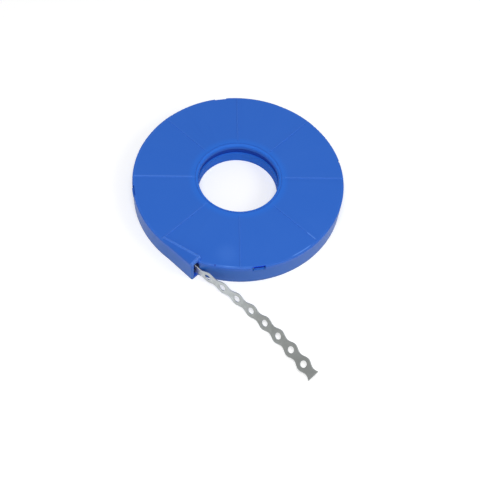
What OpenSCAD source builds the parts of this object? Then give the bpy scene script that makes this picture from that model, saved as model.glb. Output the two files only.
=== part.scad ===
// Wavy perforated fixing strap, coiled in a round two-part moulded case with a side mouth.
// The origin is on the case's axis at its underside. The strap leaves along +X.

/* [Strap] */
// Width over the bulges at the holes
strap_w = 12; // [10:0.5:17]
// Width at the necks between the holes
neck_w = 7.6; // [6:0.2:9.4]
// Thickness of the steel with its zinc coat
strap_t = 0.8; // [0.5:0.05:1]
// Spacing of the holes along the strap
hole_pitch = 15; // [12:0.5:20]
// Diameter of the holes
hole_d = 5.5; // [4:0.1:6.5]
// Length of strap wound in the case
coiled_l = 10000; // [5000:500:11000]
// Radial step from one turn of the coil to the next
turn_step = 0.92; // [0.9:0.01:1.1]
// Depth of the grooves that part the turns on the coil's ends
turn_groove = 0.35; // [0.2:0.05:0.6]

/* [Free end] */
// Length of strap outside the mouth
free_l = 127; // [90:1:160]
// From the last hole to the cut end
end_l = 12; // [4:0.5:13]
// Direction in which the strap leaves the mouth, in degrees left of +X
exit_heading = 8; // [5:0.5:10]
// Direction of the strap at its cut end
end_heading = -10; // [-20:1:6]
// Turn of the strap about its own run, from on edge towards flat
end_twist = 56; // [0:1:80]
// Steepest fall of the free strap between the mouth and its middle, in degrees
sag = 3.2; // [0:0.1:3.4]

/* [Case] */
// Outer radius of the case
case_r = 90; // [86:1:110]
// Thickness of the side walls
wall = 2; // [1.6:0.1:3]
// Thickness of the tray's floor
floor_t = 1.5; // [1.2:0.1:3]
// Thickness of the lid's plate
lid_t = 1.5; // [1.2:0.1:3]
// Room over the strap inside the case
head_room = 5.7; // [5:0.1:9]
// Height of the lid's rim, down to the parting line
rim_h = 4; // [3.4:0.1:5]
// Rounding of the lid's outer edge
edge_r = 1.1; // [0.6:0.1:1.3]

/* [Centre hole] */
// Radius of the hole through the case
hole_r = 34.3; // [25:0.1:42]
// Depth of the lid's lip round the hole
lip_h = 4.6; // [4:0.1:7]
// Width of the groove between the lip and the tray's collar under it
groove_w = 6.6; // [4:0.1:8]
// Thickness of the collar, the lip and the sleeve
collar_t = 1.5; // [1.2:0.1:2]
// Rounding of the lip's upper edge
lip_r = 2.2; // [1.6:0.1:2.6]
// Depth of the line moulded round the lip
lip_line = 0.25; // [0.1:0.05:0.4]

/* [Mouth] */
// From the case's axis to the plane of the mouth
nose_l = 35.5; // [33:0.5:36]
// Width of the hood at the mouth, over its walls
hood_w = 10.2; // [9.5:0.1:12]
// Rise of the hood over the lid at the mouth's inner corner
hood_rise = 4.2; // [3:0.1:5]
// Fall of the hood's roof from there to its outer side
roof_fall = 1.1; // [0:0.1:1.6]
// Rounding of the hood's edges
hood_r = 1.5; // [1:0.1:1.9]
// Rounding of the roof's outer edge at the mouth
hood_out_r = 3; // [2:0.1:3.5]
// Thickness of the post at the mouth's outer side
post_t = 2.75; // [2.4:0.05:2.75]
// Rounding of the post's outer corner
post_r = 1.2; // [0.6:0.1:1.4]
// Radius of the bead along the hood and over the mouth
bead_r = 0.9; // [0.6:0.1:1.2]

/* [Ribs] */
// Number of ribs on the lid
rib_count = 8; // [4:1:12]
// Width of a rib at its foot
rib_w = 1.3; // [0.8:0.1:2]
// Height of a rib
rib_h = 0.45; // [0.3:0.05:0.8]
// Where the ribs begin, from the edge of the lip's rounding
rib_inset = 3; // [1:0.5:12]

/* [Snap tabs] */
// Number of snap tabs round the rim
tab_count = 4; // [3:1:6]
// Width of a tab
tab_w = 8.7; // [6:0.1:14]
// Thickness of a tab
tab_t = 1.1; // [0.9:0.1:1.2]
// Depth of a tab's top under the lid's face
tab_drop = 1.9; // [1.7:0.1:2.6]
// Slit at each side of a tab
tab_slit = 0.9; // [0.5:0.1:1.2]
// Gap between a tab and the lid behind it
tab_gap = 0.4; // [0.3:0.05:0.8]
// How far a tab's catch stands out of the wall
tab_proud = 0.4; // [0:0.05:0.8]
// Turn of all the tabs from an even spacing about the hood, in degrees
tab_turn = -1.6; // [-6:0.2:4]

/* [Fit] */
// Clearance between pieces that turn or slide
run_gap = 0.3; // [0.2:0.05:0.4]
// Clearance between the case's two halves
case_gap = 0.15; // [0.1:0.05:0.25]

/* [Hidden] */
$fn = 180;

case_blue = [0.20, 0.40, 0.77];
zinc = [0.68, 0.70, 0.70];

// Heights
coil_z = floor_t + run_gap;
strap_z = coil_z + strap_w / 2;
lid_under = coil_z + strap_w + head_room;
case_h = lid_under + lid_t;
part_z = case_h - rim_h;
collar_top = case_h - lip_h - groove_w;
tab_top = case_h - tab_drop;
tongue_top = lid_under - case_gap;
hood_top = case_h + hood_rise;
// How far cuts run past what they cut
over = 1;

// Radii
inner_r = case_r - wall;
coil_r = inner_r - 2 * run_gap - strap_t;
turns = round((coil_r - sqrt(pow(coil_r, 2) - coiled_l * turn_step / PI)) / turn_step);
coil_in = coil_r - turns * turn_step;
run_r = coil_r + run_gap + strap_t / 2;
rebate_r = inner_r + wall / 2;
collar_r = hole_r + collar_t;
sleeve_r = collar_r + case_gap;
lip_edge_r = hole_r + lip_r;

// The mouth's straight wall crosses the round wall just inside its outer face
nose_y = case_r - case_gap * 2;
nose_angle = acos(nose_y / case_r);
// Where the rim's outer face meets the mouth's plane
rim_y = -sqrt(pow(case_r, 2) - pow(nose_l, 2));
// The round wall starts again where its outer corner clears the strap's inner face
wall_start = exit_heading - 90 + acos(coil_r / case_r);

// The strap's run: straight from the coil to the mouth, then free
mouth_s = (nose_l - run_r * sin(exit_heading)) / cos(exit_heading);
end_s = mouth_s + free_l;
last_hole_s = end_s - end_l;
hole_count = floor((last_hole_s - hole_d) / hole_pitch) + 1;
steps_per_pitch = 16;
step_count = round(end_s / hole_pitch * steps_per_pitch);
step_l = end_s / step_count;

function ease(u) = u <= 0 ? 0 : u >= 1 ? 1 : u * u * (3 - 2 * u);
function free_part(s) = max(0, (s - mouth_s) / free_l);
function heading(s) = exit_heading + (end_heading - exit_heading) * ease(free_part(s));
function fall(s) = -sag * sin(360 * free_part(s));
function along(s) = [
    cos(heading(s)) * cos(fall(s)),
    sin(heading(s)) * cos(fall(s)),
    sin(fall(s))
];
function leftward(s) = [-sin(heading(s)), cos(heading(s)), 0];
// Direction across the strap's width, and the normal of its outer face
function across(s) = cross(along(s), leftward(s)) * cos(end_twist * free_part(s))
    + leftward(s) * sin(end_twist * free_part(s));
function outward(s) = cross(along(s), across(s));
function half_width(s) = (strap_w + neck_w) / 4
    + (strap_w - neck_w) / 4 * cos(360 * (s - last_hole_s) / hole_pitch);

start_point = [run_r * sin(exit_heading), -run_r * cos(exit_heading), strap_z];
run_points = [
    for (i = 0, p = start_point; i <= step_count; p = p + step_l * along((i + 0.5) * step_l), i = i + 1) p
];
function point_at(s) = let (i = min(step_count - 1, floor(s / step_l)))
    run_points[i] + (run_points[i + 1] - run_points[i]) * (s / step_l - i);

module turn_to(direction) {
    rotate([0, acos(direction[2]), atan2(direction[1], direction[0])]) children();
}

// The corners of each section follow the wavy edge
module wavy_ribbon() {
    corners = [
        for (i = [0 : step_count])
            for (c = [[1, 1], [1, -1], [-1, -1], [-1, 1]])
                run_points[i]
                    + across(i * step_l) * half_width(i * step_l) * c[0]
                    + outward(i * step_l) * strap_t / 2 * c[1]
    ];
    sides = [
        for (i = [0 : step_count - 1])
            for (k = [0 : 3])
                let (a = 4 * i + k, b = 4 * i + (k + 1) % 4)
                    each [[a, b, b + 4], [a, b + 4, a + 4]]
    ];
    last = 4 * step_count;
    ends = [[0, 2, 1], [0, 3, 2], [last, last + 1, last + 2], [last, last + 2, last + 3]];
    polyhedron(points = corners, faces = concat(sides, ends));
}

module strap_end() {
    color(zinc)
    difference() {
        wavy_ribbon();
        for (k = [0 : hole_count - 1]) {
            s = last_hole_s - k * hole_pitch;
            translate(point_at(s))
                turn_to(outward(s))
                    cylinder(d = hole_d, h = 6 * strap_t, center = true, $fn = 48);
        }
    }
}

// Turned solid whose ends show each turn's edge
module strap_coil() {
    color(zinc)
    rotate_extrude() {
        translate([coil_in, coil_z + turn_groove])
            square([turns * turn_step - (turn_step - strap_t), strap_w - 2 * turn_groove]);
        for (k = [0 : turns - 1])
            translate([coil_in + k * turn_step, coil_z])
                square([strap_t, strap_w]);
    }
}

// Ring of rectangular section over part of a circle
module ring(r_in, r_out, z_low, z_high, from = 0, sweep = 360) {
    rotate([0, 0, from])
        rotate_extrude(angle = sweep)
            translate([r_in, z_low])
                square([r_out - r_in, z_high - z_low]);
}

// The tabs are spaced evenly, with the hood midway between two of them
module at_tabs() {
    hood_mid = atan2(-nose_y, nose_l / 2);
    for (k = [0 : tab_count - 1])
        rotate([0, 0, hood_mid + tab_turn + (k + 0.5) * 360 / tab_count])
            children();
}

// What lies outside a rounded corner, to be cut away: the corner is towards +x, or towards -x if turned
module corner_waste(r, turned, facets) {
    mirror([turned ? 1 : 0, 0])
        difference() {
            square(r + over);
            circle(r = r, $fn = facets);
        }
}

module post_corner_waste() {
    translate([nose_l - post_r, -nose_y + post_r])
        rotate(-90)
            corner_waste(post_r, false, 48);
}

// The round case with the nose beside the mouth
module tray_outline() {
    difference() {
        union() {
            circle(r = case_r);
            translate([0, -nose_y])
                square([nose_l, wall + hood_w / 2]);
        }
        circle(r = hole_r);
        post_corner_waste();
    }
}

// The way out between the nose's wall, with the post at its end, and the place where the strap has left
// the round wall
module passage_outline() {
    turned_away = [cos(wall_start), sin(wall_start)];
    wall_y = -nose_y + wall;
    post_y = -nose_y + post_t;
    bevel = post_y - wall_y;
    polygon([
        [0, wall_y],
        (inner_r - wall) * turned_away,
        (case_r + hood_w) * turned_away,
        [case_r, wall_y],
        [nose_l, wall_y],
        [nose_l - bevel, post_y],
        [nose_l - post_t, post_y],
        [nose_l - post_t - bevel, wall_y]
    ]);
}

// Straddles the rim at one tab's place
module tab_block(width, from_r, z_high) {
    translate([from_r, -width / 2, part_z - wall])
        cube([case_r + wall - from_r, width, z_high - part_z + wall]);
}

// What stands above the parting line: a tongue inside the lid's rim, slit beside the tabs, and the tabs
module tongue_and_tabs() {
    tongue_from = wall_start - nose_angle;
    tongue_to = 270 - nose_angle / 2;
    difference() {
        ring(inner_r - 2 * wall, rebate_r - case_gap, 0, case_h, tongue_from, tongue_to - tongue_from);
        at_tabs() tab_block(tab_w + 2 * tab_slit, inner_r - tab_slit, case_h + over);
    }
    at_tabs() tab_block(tab_w, case_r - tab_t, tab_top);
}

module tray_shell() {
    difference() {
        linear_extrude(tongue_top) tray_outline();
        ring(collar_r, inner_r, floor_t, case_h);
        translate([0, 0, collar_top])
            cylinder(r = collar_r + wall, h = case_h);
        translate([0, 0, floor_t])
            linear_extrude(case_h) passage_outline();
        difference() {
            ring(inner_r - wall, case_r + nose_l, part_z, case_h);
            tongue_and_tabs();
        }
    }
}

// Catch along a tab's outer face, under its top
module snap_catch() {
    catch_h = 2;
    intersection() {
        ring(inner_r + wall / 2, case_r + tab_proud, tab_top - catch_h, tab_top - edge_r / 2);
        tab_block(tab_w - tab_slit, inner_r, case_h);
    }
}

module case_tray() {
    color(case_blue) {
        tray_shell();
        at_tabs() snap_catch();
    }
}

// Section of the lid: the rounded lip and its sleeve, the plate and the rim with its rounded edge
module lid_section() {
    sleeve_z = floor_t + 3 * run_gap;
    difference() {
        union() {
            translate([hole_r, case_h - lip_h])
                square([sleeve_r + collar_t - hole_r, lip_h]);
            translate([sleeve_r, sleeve_z])
                square([collar_t, lid_under - sleeve_z]);
            translate([lip_edge_r, lid_under])
                square([case_r - lip_edge_r, lid_t]);
            translate([rebate_r, part_z])
                square([case_r - rebate_r, rim_h]);
        }
        translate([lip_edge_r, case_h - lip_r])
            corner_waste(lip_r, true, 64);
        translate([lip_edge_r, case_h - lip_line])
            square([3 * lip_line, lip_line + over]);
        translate([case_r - edge_r, case_h - edge_r])
            corner_waste(edge_r, false, 48);
    }
}

module rib(length) {
    foot = 0.3;
    rotate([90, 0, 90])
        linear_extrude(length)
            polygon([[-rib_w / 2, -foot], [rib_w / 2, -foot], [rib_w / 4, rib_h], [-rib_w / 4, rib_h]]);
}

module ribs() {
    start_r = lip_edge_r + rib_inset;
    for (k = [0 : rib_count - 1])
        rotate([0, 0, -90 + k * 360 / rib_count])
            translate([start_r, 0, case_h])
                rib((k == 0 ? nose_y - wall - hood_r : case_r - edge_r) - start_r);
}

// Upright posts with round tops joined into one body, each post given as [x, y, top, radius]
module rounded_body(posts, z_low) {
    hull()
        for (p = posts) {
            translate([p[0], p[1], z_low])
                cylinder(r = p[3], h = p[2] - p[3] - z_low);
            translate([p[0], p[1], p[2] - p[3]])
                sphere(r = p[3]);
        }
}

// The roof climbs from the apex to the mouth and falls to its outer side
module hood() {
    difference() {
        rounded_body([
            [0, -nose_y + hood_r, case_h + rib_h, hood_r],
            [nose_l + over, -nose_y + hood_out_r, hood_top - roof_fall, hood_out_r],
            [nose_l + over, -nose_y + hood_w - hood_r, hood_top, hood_r]
        ], part_z);
        translate([nose_l, -nose_y - over, part_z - over])
            cube([hood_w, 2 * hood_w, case_h]);
        translate([0, 0, part_z - over])
            linear_extrude(case_h) post_corner_waste();
    }
}

// The room under the hood ends short of the mouth, where a frame stays over the opening
module hood_hollow() {
    end_x = nose_l - lid_t;
    r = hood_r / 2;
    out_r = hood_out_r / 2;
    rounded_body([
        [3 * lid_t, -nose_y + lid_t + r, lid_under, r],
        [end_x - out_r, -nose_y + lid_t + out_r, hood_top - roof_fall - lid_t, out_r],
        [end_x - r, rim_y + case_gap - r, hood_top - lid_t, r]
    ], part_z - over);
    translate([0, 0, part_z - over])
        linear_extrude(case_h + case_gap - part_z + over)
            intersection() {
                passage_outline();
                translate([end_x - post_t, -case_r])
                    square([lid_t + post_t + over, case_r + rim_y + 2 * case_gap]);
            }
}

module bead(a, b) {
    hull() {
        translate(a) sphere(r = bead_r);
        translate(b) sphere(r = bead_r);
    }
}

// The outer end of the bead over the mouth lies where the roof's outer rounding falls 3 in 4
module hood_beads() {
    bead_x = nose_l - bead_r;
    bead_apex = [0, -nose_y + hood_r * 2, case_h];
    bead_in = [bead_x, -nose_y + hood_w - bead_r, hood_top - bead_r / 2];
    bead_out = [bead_x, -nose_y + hood_out_r * 0.4, hood_top - roof_fall - hood_out_r * 0.2];
    bead(bead_apex, bead_in);
    bead(bead_in, bead_out);
}

module case_lid() {
    color(case_blue)
    difference() {
        union() {
            rotate_extrude() lid_section();
            ribs();
            hood($fn = 32);
            hood_beads($fn = 20);
        }
        hood_hollow($fn = 32);
        at_tabs() tab_block(tab_w + 2 * tab_slit, case_r - tab_t - tab_gap, case_h + over);
    }
}

case_tray();
case_lid();
strap_coil();
strap_end();
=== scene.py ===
# Fixing strap in its round dispenser case: strap meshes, finishes, floor, light and camera
import bpy
import bmesh
from math import atan2, cos, hypot, pi, radians, sin, sqrt
from mathutils import Matrix, Quaternion, Vector


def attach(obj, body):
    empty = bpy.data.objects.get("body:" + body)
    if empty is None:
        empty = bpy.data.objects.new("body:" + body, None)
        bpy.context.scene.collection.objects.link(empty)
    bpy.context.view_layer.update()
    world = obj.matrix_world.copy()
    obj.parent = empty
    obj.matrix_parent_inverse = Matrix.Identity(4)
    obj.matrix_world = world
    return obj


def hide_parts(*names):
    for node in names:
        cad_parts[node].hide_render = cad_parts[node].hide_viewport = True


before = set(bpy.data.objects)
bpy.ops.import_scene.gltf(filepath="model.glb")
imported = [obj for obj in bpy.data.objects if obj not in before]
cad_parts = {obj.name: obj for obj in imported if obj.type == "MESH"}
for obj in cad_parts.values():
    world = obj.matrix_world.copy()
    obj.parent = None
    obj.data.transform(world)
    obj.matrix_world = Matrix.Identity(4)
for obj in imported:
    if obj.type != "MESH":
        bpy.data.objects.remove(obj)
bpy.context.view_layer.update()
scene = bpy.context.scene
print("frame loaded:", sorted(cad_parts))

# Sizes of the steel strip, the same all along it, in metres
strip = dict(width=0.012, neck=0.0076, thick=0.0008, pitch=0.015, hole=0.0055,
             meet=1e-6, cornerAngle=1, smoothDegrees=50)
# The free end, from the coil through the mouth to the cut end
freeEnd = dict(runRadius=0.0873, middleZ=0.0078, outside=0.127, tail=0.012, noseX=0.0355,
               exitHeading=8, endHeading=-10, twist=56, sag=3.2,
               ringParts=48, rings=3, tailSteps=6, neckSteps=12, steps=2000, edgeRound=0.00012, margin=0.0055)
# The wound turns inside the case
coil = dict(innerRadius=0.06912, turns=19, turnStep=0.00092, lowZ=0.0018, ringParts=12, endFacing=0.99)


# One socket of a shader tree, so that a finish reads as a sum
class Wire:
    def __init__(self, tree, socket=None):
        self.tree = tree
        self.socket = socket

    # Adds a node, given its type, its settings, its sockets' values or wires, and the output to go on from
    def node(self, kind, settings=None, sockets=None, output=0):
        made = self.tree.nodes.new(kind)
        for name, value in (settings or {}).items():
            setattr(made, name, value)
        for name, value in (sockets or {}).items():
            if isinstance(value, Wire):
                self.tree.links.new(value.socket, made.inputs[name])
            else:
                made.inputs[name].default_value = value
        return Wire(self.tree, made.outputs[output] if len(made.outputs) else None)

    def math(self, operation, a, b=0.0):
        return self.node("ShaderNodeMath", {"operation": operation}, {0: a, 1: b})

    def __add__(self, other):
        return self.math("ADD", self, other)

    __radd__ = __add__

    def __sub__(self, other):
        return self.math("SUBTRACT", self, other)

    def __rsub__(self, other):
        return self.math("SUBTRACT", other, self)

    def __mul__(self, other):
        return self.math("MULTIPLY", self, other)

    __rmul__ = __mul__

    def __truediv__(self, other):
        return self.math("DIVIDE", self, other)

    # 0 below low, 1 above high, smooth between
    def rise(self, low, high):
        limits = {"Value": self, "From Min": low, "From Max": high}
        return self.node("ShaderNodeMapRange", {"interpolation_type": "SMOOTHSTEP"}, limits)

    # 1 between low and high, fading out over soft
    def band(self, low, high, soft):
        return self.rise(low - soft, low) * (1 - self.rise(high, high + soft))

    # This share of the second colour over the first
    def tint(self, first, second):
        return self.node("ShaderNodeMix", {"data_type": "RGBA"}, {0: self, 6: first, 7: second}, 2)

    # Cloudy values about 0, from -1 to 1, over cells of about this size in metres
    def clouds(self, size, detail=2.0, rough=0.5):
        noise = self.node("ShaderNodeTexNoise", None,
                          {"Vector": self, "Scale": 1 / size, "Detail": detail, "Roughness": rough})
        return (noise - 0.5) * 2

    def size(self):
        return self.math("ABSOLUTE", self)

    def most(self, other):
        return self.math("MAXIMUM", self, other)

    # Distance from a point in metres
    def distance(self, point):
        return self.node("ShaderNodeVectorMath", {"operation": "DISTANCE"}, {0: self, 1: point}, 1)

    def axes(self):
        return [self.node("ShaderNodeSeparateXYZ", None, {0: self}, axis) for axis in range(3)]

    def stretched(self, scale, turn=(0, 0, 0)):
        return self.node("ShaderNodeMapping", None, {"Vector": self, "Scale": scale, "Rotation": turn})


def newMaterial(name):
    material = bpy.data.materials.new(name)
    material.use_nodes = True
    material.node_tree.nodes.clear()
    return material, Wire(material.node_tree)


def surfaceFrom(start, shader):
    start.node("ShaderNodeOutputMaterial", None, {"Surface": shader})


def giveMaterial(piece, material):
    piece.data.materials.clear()
    piece.data.materials.append(material)


# Moulded plastic of both halves of the case: satin, with a fine grain and flow marks, a painted highlight
# with scuffs along the rim, and painted light and painted shade in the hole, the mouth and the gaps
plastic = dict(blue=(0.0225, 0.131, 0.580, 1), pale=(0.052, 0.190, 0.650, 1), deep=(0.014, 0.105, 0.510, 1),
               highlightAndWear=(0.085, 0.245, 0.780, 1), paintedLightBlue=(0.014, 0.165, 0.740, 1),
               inner=(0.001, 0.060, 0.900, 1), innerShare=0.9,
               cloudPale=0.12, flowPale=0.12, paleShare=0.10, flowDeep=0.5, deepShare=0.3, deepFrom=0.35,
               roughness=0.38, cloudRough=0.06, scuffRough=0.06, shelteredRough=0.32, ior=1.49, gloss=0.3,
               cloudSize=0.045, flowSize=0.014, flowRun=(0.09, 0.16), scuffSize=0.004, scuffTurn=0.6,
               grainSize=0.0006, grainDepth=0.000012, grainStrength=0.6, fade=0.0001,
               edge=(0.0880, 0.0886), edgeFade=0.0004, edgeZ=(0.0204, 0.0207),
               edgeShare=0.06, edgeScuffs=0.08, scuffStretch=(1.0, 0.22, 1.0), scuffedFrom=(0.2, 0.7),
               rimHighlight=((-0.90, -0.86, 0.50), (-0.96, -0.71, 0.35), (-0.25, -0.12, 0.95)), rimHighlightFade=0.06,
               mouthX=(0.0040, 0.0353))
# The lid's ribs, dash, beads, patch, nick and ring, and the places that its lip, hood and rim hide: painted
# highlights on the ribs, the dash, the beads and round the nick, painted shade on the hood's roof, in the
# nick, in the groove under the lip and in the hidden places, a lighter patch, and painted light on the ring
# round the hole and on the lip
lidMarks = dict(ribs=8, crest=(0.0005, 0.0010), crestZ=(0.02101, 0.02106), foot=(0.0005, 0.0020),
                footZ=(0.0209, 0.02098), footShare=0.35, ribScuffs=0.3, beadScuffs=0.15,
                ribSheen=0.14, acrossSheen=0.61, nearSheen=0.14, leastSheen=0.17,
                dash=(0.0785, 0.0866), dashFade=0.0006, dashHalf=(0.0010, 0.0015), dashShare=0.9,
                ridge=((0, -0.0867), (0.0346, -0.0804)), bead=(0.0010, 0.0017), beadShare=0.46,
                mouthBead=(0.0329, 0.0333), roofZ=(0.0212, 0.0215), roofY=(-0.0793, -0.0788), roofShare=0.4,
                patch=(0.0463, -0.0615, 0.0210), patchSize=(0.001, 0.013), patchShare=0.16,
                nick=(0.0471, -0.0756, 0.0210), nickRim=(0.0008, 0.0020), nickRimShare=0.3,
                nickSize=(0.0008, 0.0012), nickShare=0.8, unlit=(0.001, 0.045, 0.400, 1),
                ringStart=(0.0368, 0.0375), ringEnd=(0.0380, 0.0440), ringShare=0.4,
                sleeve=(0.0361, 0.0362), sleeveZ=(0.0163, 0.0164), sleeveShare=0.8,
                lip=(0.0360, 0.0365), lipZ=(0.0180, 0.0190), lipShare=0.6,
                mouthY=(-0.0886, -0.0785), slot=(0.0883, 0.0887), underZ=(0.0208, 0.0209))
# The tray's own blue, a darker band along its foot, the places inside its wall, collar, mouth and tabs that
# get painted shade, and the centre hole that gets painted light
trayMarks = dict(blue=(0.0200, 0.131, 0.500, 1), blueShare=0.7, blueClouds=0.1,
                 footDark=(0.060, 0.110, 0.220, 1), footDarkZ=(0.0004, 0.0030), footDarkShare=0.35, footDarkFlow=0.2,
                 wall=(0.0879, 0.0880), collar=(0.0357, 0.0358),
                 mouthWall=(-0.08775, -0.08765), mouthFar=(-0.0820, -0.0815), floorZ=(0.0014, 0.0016),
                 tab=(0.0888, 0.0890), tabZ=(0.0170, 0.0171), hole=(0.0358, 0.0362), holeShare=0.6)


# How far each place on the lid lies on a rib, the dash or one of the hood's beads, which get a painted
# highlight, and on the hood's roof, which gets painted shade
def raisedLines(x, y, z, radius, angle):
    marks = lidMarks
    turned = angle * (marks["ribs"] / (2 * pi)) + 0.5
    offRib = (turned.math("FRACT", turned) - 0.5).size() * radius * (2 * pi / marks["ribs"])
    crest = (1 - offRib.rise(*marks["crest"])) * z.rise(*marks["crestZ"])
    foot = (1 - offRib.rise(*marks["foot"])) * z.rise(*marks["footZ"]) * marks["footShare"]
    # Painted highlight on the ribs, over their crests and shaded sides: the ribs across the light get the
    # most, and those nearer the front more
    ribSheen = marks["ribSheen"] + x * y / (radius * radius) * marks["acrossSheen"] - y / radius * marks["nearSheen"]
    rib = crest.most(foot) * ribSheen.most(marks["leastSheen"])
    # The dash: a painted highlight at the outer end of the rib along x
    dash = crest * x.band(*marks["dash"], marks["dashFade"]) * (1 - y.size().rise(*marks["dashHalf"]))
    (startX, startY), (endX, endY) = marks["ridge"]
    run = hypot(endX - startX, endY - startY)
    offRidge = ((y - startY) * ((endX - startX) / run) - (x - startX) * ((endY - startY) / run)).size()
    # The hood's roof gets painted shade, and its beads, along the ridge and over the mouth, a painted
    # highlight
    roof = z.rise(*marks["roofZ"]) * (1 - y.rise(*marks["roofY"]))
    ridge = (1 - offRidge.rise(*marks["bead"])) * roof
    bead = ridge.most(x.rise(*marks["mouthBead"]) * roof)
    return rib.most(dash * marks["dashShare"]), bead, roof


# The lid's colour with its painted highlights, light and shade, how far each place is inside the case and
# gets painted shade there, and how far it is in the centre hole
def colourLid(base, place, x, y, z, radius, angle, scuffs):
    marks = lidMarks
    rib, bead, roof = raisedLines(x, y, z, radius, angle)
    # Painted shade on the hood's roof
    base = (roof * marks["roofShare"]).tint(base, plastic["deep"])
    patch = 1 - place.distance(marks["patch"]).rise(*marks["patchSize"])
    base = (patch * marks["patchShare"]).tint(base, plastic["highlightAndWear"])
    # Painted light: a brighter, more saturated ring round the centre hole
    ring = radius.rise(*marks["ringStart"]) * (1 - radius.rise(*marks["ringEnd"]))
    base = (ring * marks["ringShare"]).tint(base, plastic["paintedLightBlue"])
    # Painted highlights on the ribs and the hood's beads, varied by the scuffs
    base = (rib * (scuffs * marks["ribScuffs"] + 1)).tint(base, plastic["highlightAndWear"])
    base = (bead * (scuffs * marks["beadScuffs"] + marks["beadShare"])).tint(base, plastic["highlightAndWear"])
    # The nick: a painted highlight round it and painted shade in it
    nick = place.distance(marks["nick"])
    base = ((1 - nick.rise(*marks["nickRim"])) * marks["nickRimShare"]).tint(base, plastic["highlightAndWear"])
    base = ((1 - nick.rise(*marks["nickSize"])) * marks["nickShare"]).tint(base, marks["unlit"])
    # Painted shade in the groove under the lip
    sleeve = (1 - radius.rise(*marks["sleeve"])) * (1 - z.rise(*marks["sleeveZ"]))
    base = (sleeve * marks["sleeveShare"]).tint(base, marks["unlit"])
    # Painted light on the lip's inner face
    hole = 1 - radius.rise(*marks["lip"])
    base = (hole * z.rise(*marks["lipZ"]) * marks["lipShare"]).tint(base, plastic["paintedLightBlue"])
    # Places under the hood and in the tab slots, which get painted shade
    mouth = x.band(*plastic["mouthX"], plastic["fade"]) * y.band(*marks["mouthY"], plastic["fade"])
    slot = radius.band(*marks["slot"], plastic["fade"])
    return base, mouth.most(slot) * (1 - z.rise(*marks["underZ"])), hole


# The same for the tray
def colourTray(base, x, y, z, radius, cloud, flow):
    marks = trayMarks
    base = (cloud * marks["blueClouds"] + marks["blueShare"]).tint(base, marks["blue"])
    # Darker along the foot
    footDarkness = (1 - z.rise(*marks["footDarkZ"])) * (flow * marks["footDarkFlow"] + marks["footDarkShare"])
    base = footDarkness.tint(base, marks["footDark"])
    # Places inside the wall and collar, in the mouth and on the tabs, which get painted shade
    room = (1 - radius.rise(*marks["wall"])) * radius.rise(*marks["collar"])
    mouth = x.band(*plastic["mouthX"], plastic["fade"]) * y.rise(*marks["mouthWall"])
    inShade = room.most(mouth * (1 - y.rise(*marks["mouthFar"]))) * z.rise(*marks["floorZ"])
    tab = radius.band(*marks["tab"], plastic["fade"]) * z.rise(*marks["tabZ"])
    # Painted light in the centre hole
    hole = 1 - radius.rise(*marks["hole"])
    base = (hole * marks["holeShare"]).tint(base, plastic["paintedLightBlue"])
    return base, inShade.most(tab), hole


def mouldedPlastic(name, forLid):
    material, start = newMaterial(name)
    place = start.node("ShaderNodeTexCoord", None, None, "Object")
    x, y, z = place.axes()
    square = x * x + y * y
    radius = square.math("SQRT", square)
    angle = y.math("ARCTAN2", y, x)
    around, outward = plastic["flowRun"]
    polar = place.node("ShaderNodeCombineXYZ", None, {0: angle * around, 1: radius * outward, 2: z})
    cloud = place.clouds(plastic["cloudSize"])
    flow = polar.clouds(plastic["flowSize"], 3.0)
    scuffs = place.stretched(plastic["scuffStretch"], (0, 0, plastic["scuffTurn"]))
    scuffs = scuffs.clouds(plastic["scuffSize"], 4.0, 0.65)
    pale = cloud * plastic["cloudPale"] + flow * plastic["flowPale"] + plastic["paleShare"]
    base = pale.rise(0, 1).tint(plastic["blue"], plastic["pale"])
    deep = (flow * plastic["flowDeep"] + plastic["deepShare"]).rise(plastic["deepFrom"], 1)
    base = deep.tint(base, plastic["deep"])
    # Painted highlight along the rim's top edge, strongest in three stretches round it, with scuffs on it
    edge = radius.band(*plastic["edge"], plastic["edgeFade"]) * z.rise(*plastic["edgeZ"])
    rimHighlight = sum(angle.band(low, high, plastic["rimHighlightFade"]) * share for low, high, share in plastic["rimHighlight"])
    highlightAndWear = edge * (rimHighlight + scuffs * plastic["edgeScuffs"] + plastic["edgeShare"])
    base = highlightAndWear.tint(base, plastic["highlightAndWear"])
    if forLid:
        base, inShade, hole = colourLid(base, place, x, y, z, radius, angle, scuffs)
    else:
        base, inShade, hole = colourTray(base, x, y, z, radius, cloud, flow)
    # Painted shade: a deep, saturated blue over the places in shade
    base = (inShade * plastic["innerShare"]).tint(base, plastic["inner"])
    roughness = plastic["roughness"] + cloud * plastic["cloudRough"]
    roughness = roughness + scuffs.rise(*plastic["scuffedFrom"]) * plastic["scuffRough"]
    roughness = roughness + hole.most(inShade) * plastic["shelteredRough"]
    grain = place.clouds(plastic["grainSize"], 3.0, 0.6)
    bump = place.node("ShaderNodeBump", None,
                      {"Height": grain + scuffs * 0.5, "Distance": plastic["grainDepth"],
                       "Strength": plastic["grainStrength"]})
    surfaceFrom(start, start.node("ShaderNodeBsdfPrincipled", None,
                                  {"Base Color": base, "Roughness": roughness, "Normal": bump,
                                   "IOR": plastic["ior"], "Specular IOR Level": plastic["gloss"]}))
    return material


# Zinc on steel: dull spangle, rolling lines along the strip, punched edges with a painted highlight, and
# painted shade darkening the free end towards its cut end
zinc = dict(bright=(0.68, 0.72, 0.73, 1), dull=(0.50, 0.52, 0.52, 1), cut=(0.56, 0.60, 0.63, 1), cutShare=0.7,
            shadedEnd=(0.33, 0.345, 0.335, 1), shadedEndFrom=(0.050, 0.092), shadedEndShare=0.85,
            tone=0.32, crystalTone=0.30, lineTone=0.22, patchTone=0.45,
            roughness=0.40, crystalRough=0.10, patchRough=0.06, cutRough=0.12,
            spangleSize=0.0022, lineSize=0.0007, patchSize=0.012, depth=0.000008, strength=0.7)


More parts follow.
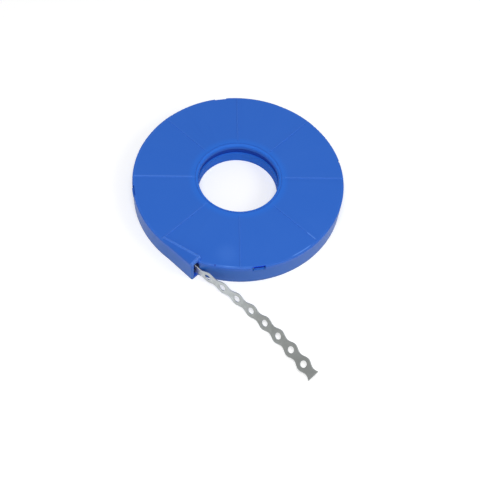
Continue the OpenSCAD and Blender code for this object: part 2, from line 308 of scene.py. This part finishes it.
def zincFinish(name, shadedEnd):
    material, start = newMaterial(name)
    run = start.node("ShaderNodeUVMap", {"uv_map": "run"})
    cells = run.node("ShaderNodeTexVoronoi", None, {"Vector": run, "Scale": 1 / zinc["spangleSize"]}, "Color")
    crystal = cells.node("ShaderNodeSeparateColor", None, {0: cells}, "Red")
    lines = run.stretched((0.04, 1.0, 1.0)).clouds(zinc["lineSize"], 3.0)
    patch = run.clouds(zinc["patchSize"], 3.0)
    tone = crystal * zinc["crystalTone"] + lines * zinc["lineTone"] + patch * zinc["patchTone"] + zinc["tone"]
    base = tone.rise(0, 1).tint(zinc["bright"], zinc["dull"])
    if shadedEnd:
        # Painted shade, darkening the free end towards its cut end
        outer = run.axes()[0].rise(*zinc["shadedEndFrom"])
        base = (outer * (patch * 0.15 + zinc["shadedEndShare"])).tint(base, zinc["shadedEnd"])
    # Painted highlight on the punched edges: a light, bluish grey
    cut = start.node("ShaderNodeAttribute", {"attribute_name": "cutEdge"}, None, "Fac")
    base = (cut * zinc["cutShare"]).tint(base, zinc["cut"])
    roughness = zinc["roughness"] + crystal * zinc["crystalRough"] + patch * zinc["patchRough"]
    roughness = roughness + cut * zinc["cutRough"]
    bump = run.node("ShaderNodeBump", None, {"Height": crystal * 0.6 + lines, "Distance": zinc["depth"],
                                             "Strength": zinc["strength"]})
    surfaceFrom(start, start.node("ShaderNodeBsdfPrincipled", None,
                                  {"Base Color": base, "Metallic": 1.0, "Roughness": roughness,
                                   "Normal": bump}))
    return material


giveMaterial(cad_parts["case_lid"], mouldedPlastic("lidPlastic", True))
giveMaterial(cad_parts["case_tray"], mouldedPlastic("trayPlastic", False))
print("case finished")


def halfWidth(fromHole):
    mean = (strip["width"] + strip["neck"]) / 4
    swing = (strip["width"] - strip["neck"]) / 4
    return mean + swing * cos(2 * pi * fromHole / strip["pitch"])


# Where one of ringParts points lies round the outline of one pitch of strip, its wavy edges and two necks.
# ringParts is a multiple of 12
def cellEdge(part, ringParts):
    side = ringParts // 12
    quarter = ringParts // 4
    half = strip["pitch"] / 2
    turn = (part + quarter) % (ringParts // 2) - quarter
    mirror = 1 if (part + quarter) % ringParts < ringParts // 2 else -1
    if abs(turn) <= side:
        return Vector((mirror * half, mirror * strip["neck"] / 2 * turn / side, 0))
    along = half * (1 - (abs(turn) - side) / (quarter - side))
    return Vector((mirror * along, mirror * halfWidth(along) * (1 if turn > 0 else -1), 0))


# One pitch of flat strip round its hole
def addCell(bm, centreX, ringParts, rings):
    place = Matrix.Translation((centreX, 0, 0))
    loops = [bmesh.ops.create_circle(bm, radius=strip["hole"] / 2 * grow, segments=ringParts, matrix=place)
             for grow in (1, 2)]
    for corner in loops[1]["verts"]:
        turn = atan2(corner.co.y, corner.co.x - centreX)
        part = round(turn / (2 * pi) * ringParts) % ringParts
        corner.co = place @ cellEdge(part, ringParts)
    edges = {edge for loop in loops for corner in loop["verts"] for edge in corner.link_edges}
    spokes = bmesh.ops.bridge_loops(bm, edges=list(edges))["edges"]
    if rings:
        bmesh.ops.subdivide_edges(bm, edges=spokes, cuts=rings, use_grid_fill=True)


# Carries the strip on past its last or first cell to where it ends
def growTail(bm, fromX, toX, lastHole, steps):
    edges = [edge for edge in bm.edges if all(abs(end.co.x - fromX) < strip["meet"] for end in edge.verts)]
    reach = fromX
    for step in range(steps):
        nextX = fromX + (toX - fromX) * (step + 1) / steps
        spread = halfWidth(nextX - lastHole) / halfWidth(reach - lastHole)
        grown = bmesh.ops.extrude_edge_only(bm, edges=edges)["geom"]
        corners = {part for part in grown if isinstance(part, bmesh.types.BMVert)}
        sides = [part for part in grown if isinstance(part, bmesh.types.BMEdge)]
        edges = [side for side in sides if corners.issuperset(side.verts)]
        for corner in corners:
            corner.co.x = nextX
            corner.co.y *= spread
        reach = nextX


# Gives the flat strip its thickness, and rounds its punched edges
def thicken(bm, edgeRound):
    bmesh.ops.remove_doubles(bm, verts=bm.verts, dist=strip["meet"])
    bmesh.ops.recalc_face_normals(bm, faces=bm.faces)
    sheet = bmesh.ops.extrude_face_region(bm, geom=bm.faces[:])["geom"]
    raised = [part for part in sheet if isinstance(part, bmesh.types.BMVert)]
    bmesh.ops.translate(bm, verts=raised, vec=(0, 0, strip["thick"]))
    bmesh.ops.translate(bm, verts=bm.verts, vec=(0, 0, -strip["thick"] / 2))
    bmesh.ops.recalc_face_normals(bm, faces=bm.faces)
    bm.normal_update()
    if edgeRound:
        sharp = [edge for edge in bm.edges if edge.calc_face_angle(0) > strip["cornerAngle"]]
        bmesh.ops.bevel(bm, geom=sharp, offset=edgeRound, offset_type="OFFSET", segments=2, profile=0.5,
                        affect="EDGES", clamp_overlap=True, material=-1)
        bm.normal_update()


# Keeps the place of each corner in the flat strip as its UV
def keepFlatPlace(bm, flat):
    for face in bm.faces:
        for corner in face.loops:
            corner[flat].uv = (corner.vert.co.x, corner.vert.co.y)


# Gives the flat strip that UV, and marks how far each face is a punched edge
def markFlatPlace(bm):
    flat = bm.loops.layers.uv.new("run")
    cut = bm.faces.layers.float.new("cutEdge")
    for face in bm.faces:
        face[cut] = 1 - abs(face.normal.z)
        face.smooth = True
    keepFlatPlace(bm, flat)


def keepPiece(bm, name, body, node):
    mesh = bpy.data.meshes.new(name)
    bm.to_mesh(mesh)
    bm.free()
    mesh.set_sharp_from_angle(angle=radians(strip["smoothDegrees"]))
    piece = bpy.data.objects.new(name, mesh)
    scene.collection.objects.link(piece)
    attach(piece, body)
    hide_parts(node)
    print(name, "has", len(mesh.polygons), "faces")
    return piece


def ease(share):
    share = min(1, max(0, share))
    return share * share * (3 - 2 * share)


# The free end's run: straight out of the mouth, then a slow bend, a twist and a sag
def freeRun():
    facts = freeEnd
    leaving = radians(facts["exitHeading"])
    mouthAt = (facts["noseX"] - facts["runRadius"] * sin(leaving)) / cos(leaving)
    length = mouthAt + facts["outside"]

    def directions(s):
        share = max(0, (s - mouthAt) / facts["outside"])
        heading = leaving + (radians(facts["endHeading"]) - leaving) * ease(share)
        fall = -radians(facts["sag"]) * sin(2 * pi * share)
        along = Vector((cos(heading) * cos(fall), sin(heading) * cos(fall), sin(fall)))
        left = Vector((-sin(heading), cos(heading), 0))
        turn = radians(facts["twist"]) * share
        across = along.cross(left) * cos(turn) + left * sin(turn)
        return along, across, along.cross(across)

    step = length / facts["steps"]
    radius = facts["runRadius"]
    points = [Vector((radius * sin(leaving), -radius * cos(leaving), facts["middleZ"]))]
    for k in range(facts["steps"]):
        points.append(points[-1] + directions((k + 0.5) * step)[0] * step)

    def bend(flat):
        place = min(facts["steps"] - 1, max(0, int(flat.x / step)))
        middle = points[place].lerp(points[place + 1], flat.x / step - place)
        along, across, outward = directions(flat.x)
        return middle + across * flat.y + outward * flat.z

    return length, bend


def makeFreeEnd():
    length, bend = freeRun()
    lastHole = length - freeEnd["tail"]
    pitch = strip["pitch"]
    holes = int((lastHole - freeEnd["margin"]) / pitch) + 1
    bm = bmesh.new()
    for k in range(holes):
        addCell(bm, lastHole - k * pitch, freeEnd["ringParts"], freeEnd["rings"])
    growTail(bm, lastHole + pitch / 2, length, lastHole, freeEnd["tailSteps"])
    firstCell = lastHole - (holes - 0.5) * pitch
    growTail(bm, firstCell, 0, lastHole, freeEnd["neckSteps"])
    thicken(bm, freeEnd["edgeRound"])
    markFlatPlace(bm)
    for corner in bm.verts:
        corner.co = bend(corner.co)
    piece = keepPiece(bm, "freeStrap", "strap", "strap_end")
    giveMaterial(piece, zincFinish("strapZinc", True))


# Copies one cell along the strip, each joined to the last
def repeatCell(bm, cells):
    pattern = bm.verts[:] + bm.edges[:] + bm.faces[:]
    for k in range(1, cells):
        copied = bmesh.ops.duplicate(bm, geom=pattern)["geom"]
        corners = [part for part in copied if isinstance(part, bmesh.types.BMVert)]
        bmesh.ops.translate(bm, verts=corners, vec=(k * strip["pitch"], 0, 0))
    bmesh.ops.remove_doubles(bm, verts=bm.verts, dist=strip["meet"])


# Opens a cell's two ends across the necks, where the next cells join on
def openEnds(bm):
    half = strip["pitch"] / 2
    ends = []
    for face in bm.faces:
        middle = face.calc_center_median()
        atEnd = abs(abs(middle.x - half) - half) < strip["meet"]
        if atEnd and abs(face.normal.x) > coil["endFacing"] and abs(middle.y) < strip["neck"] / 2:
            ends.append(face)
    bmesh.ops.delete(bm, geom=ends, context="FACES")


# The wound strip is one perforated ribbon, laid out flat and then rolled up turn on turn
def makeCoil():
    growth = coil["turnStep"] / (2 * pi)
    innerMiddle = coil["innerRadius"] + strip["thick"] / 2
    outerEnd = radians(freeEnd["exitHeading"] - 90)
    sweep = 2 * pi * (coil["turns"] - 1)
    length = innerMiddle * sweep + growth * sweep * sweep / 2
    bm = bmesh.new()
    addCell(bm, strip["pitch"] / 2, coil["ringParts"], 0)
    thicken(bm, 0)
    markFlatPlace(bm)
    openEnds(bm)
    repeatCell(bm, int(length / strip["pitch"]))
    keepFlatPlace(bm, bm.loops.layers.uv["run"])
    middleZ = coil["lowZ"] + strip["width"] / 2
    for corner in bm.verts:
        x, y, outward = corner.co
        turned = (sqrt(innerMiddle ** 2 + 2 * growth * x) - innerMiddle) / growth
        radius = innerMiddle + growth * turned + outward
        azimuth = outerEnd - sweep + turned
        corner.co = (radius * cos(azimuth), radius * sin(azimuth), middleZ + y)
    ends = [edge for edge in bm.edges if edge.is_boundary]
    bmesh.ops.holes_fill(bm, edges=ends, sides=0)
    piece = keepPiece(bm, "woundStrap", "coil", "strap_coil")
    giveMaterial(piece, zincFinish("coilZinc", False))


makeFreeEnd()
makeCoil()

# A wide pale floor under soft light, with a white surround and a dimmer ceiling. The lifts are the floor's
# own light, which only the camera and reflections see, so that the object's shadow stays faint on it
studio = dict(floorSize=8, floorTone=(0.80, 0.80, 0.80, 1), cameraLift=0.22, seenLift=0.12,
              sky=0.95, ceilingDim=0.5, ceiling=(0.25, 0.60),
              keyPlace=(0.31, -0.37, 1.20), keySize=0.6, keyPower=7.5,
              sidePlace=(0.85, 0.31, 0.90), sideSize=0.5, sidePower=2.5)


# 1 for what the camera sees, then 1 for what it or a reflection sees, and 0 for light on the object
def seenStraight(start):
    camera = start.node("ShaderNodeLightPath", None, None, "Is Camera Ray")
    glossy = start.node("ShaderNodeLightPath", None, None, "Is Glossy Ray")
    through = start.node("ShaderNodeLightPath", None, None, "Is Transmission Ray")
    seen = camera + glossy + through
    return camera, seen.math("MINIMUM", seen, 1.0)


def makeFloor():
    bm = bmesh.new()
    bmesh.ops.create_grid(bm, x_segments=1, y_segments=1, size=studio["floorSize"] / 2)
    mesh = bpy.data.meshes.new("floor")
    bm.to_mesh(mesh)
    bm.free()
    floor = bpy.data.objects.new("floor", mesh)
    scene.collection.objects.link(floor)
    material, start = newMaterial("paleFloor")
    camera, seen = seenStraight(start)
    matt = start.node("ShaderNodeBsdfDiffuse", None, {"Color": studio["floorTone"]})
    strength = camera * studio["cameraLift"] + seen * studio["seenLift"]
    lift = start.node("ShaderNodeEmission", None, {"Strength": strength})
    surfaceFrom(start, start.node("ShaderNodeAddShader", None, {0: matt, 1: lift}))
    giveMaterial(floor, material)


# White where it is seen, a little less as light on the object, and dimmer overhead
def makeSky():
    world = bpy.data.worlds.new("studio")
    world.use_nodes = True
    world.node_tree.nodes.clear()
    scene.world = world
    start = Wire(world.node_tree)
    height = start.node("ShaderNodeTexCoord", None, None, "Generated").axes()[2]
    camera, seen = seenStraight(start)
    level = seen * (1 - studio["sky"]) + studio["sky"]
    dimmed = 1 - height.rise(*studio["ceiling"]) * studio["ceilingDim"]
    light = start.node("ShaderNodeBackground", None, {"Strength": level * dimmed})
    start.node("ShaderNodeOutputWorld", None, {"Surface": light})


def makeLamp(name, place, size, power):
    lamp = bpy.data.lights.new(name, "AREA")
    lamp.shape = "DISK"
    lamp.size = size
    lamp.energy = power
    holder = bpy.data.objects.new(name, lamp)
    holder.location = place
    holder.rotation_euler = (-Vector(place)).to_track_quat("-Z", "Y").to_euler()
    scene.collection.objects.link(holder)


makeFloor()
makeSky()
makeLamp("keyLamp", studio["keyPlace"], studio["keySize"], studio["keyPower"])
makeLamp("sideLamp", studio["sidePlace"], studio["sideSize"], studio["sidePower"])
scene.view_settings.view_transform = "Standard"
print("studio set")

# The photograph's view: from the right front, high up, a little rolled
view = dict(place=(0.25918, -0.30346, 0.55818), target=(0.04459, -0.04449, 0.0210), roll=5.105,
            lens=58.81, sensor=36, clipStart=0.01)


def makeCamera():
    camera = bpy.data.cameras.new("camera")
    camera.lens = view["lens"]
    camera.sensor_width = view["sensor"]
    camera.clip_start = view["clipStart"]
    holder = bpy.data.objects.new("camera", camera)
    aim = (Vector(view["target"]) - Vector(view["place"])).to_track_quat("-Z", "Y")
    holder.rotation_mode = "QUATERNION"
    holder.rotation_quaternion = aim @ Quaternion((0, 0, 1), radians(view["roll"]))
    holder.location = view["place"]
    scene.collection.objects.link(holder)
    scene.camera = holder


makeCamera()
print("camera set")
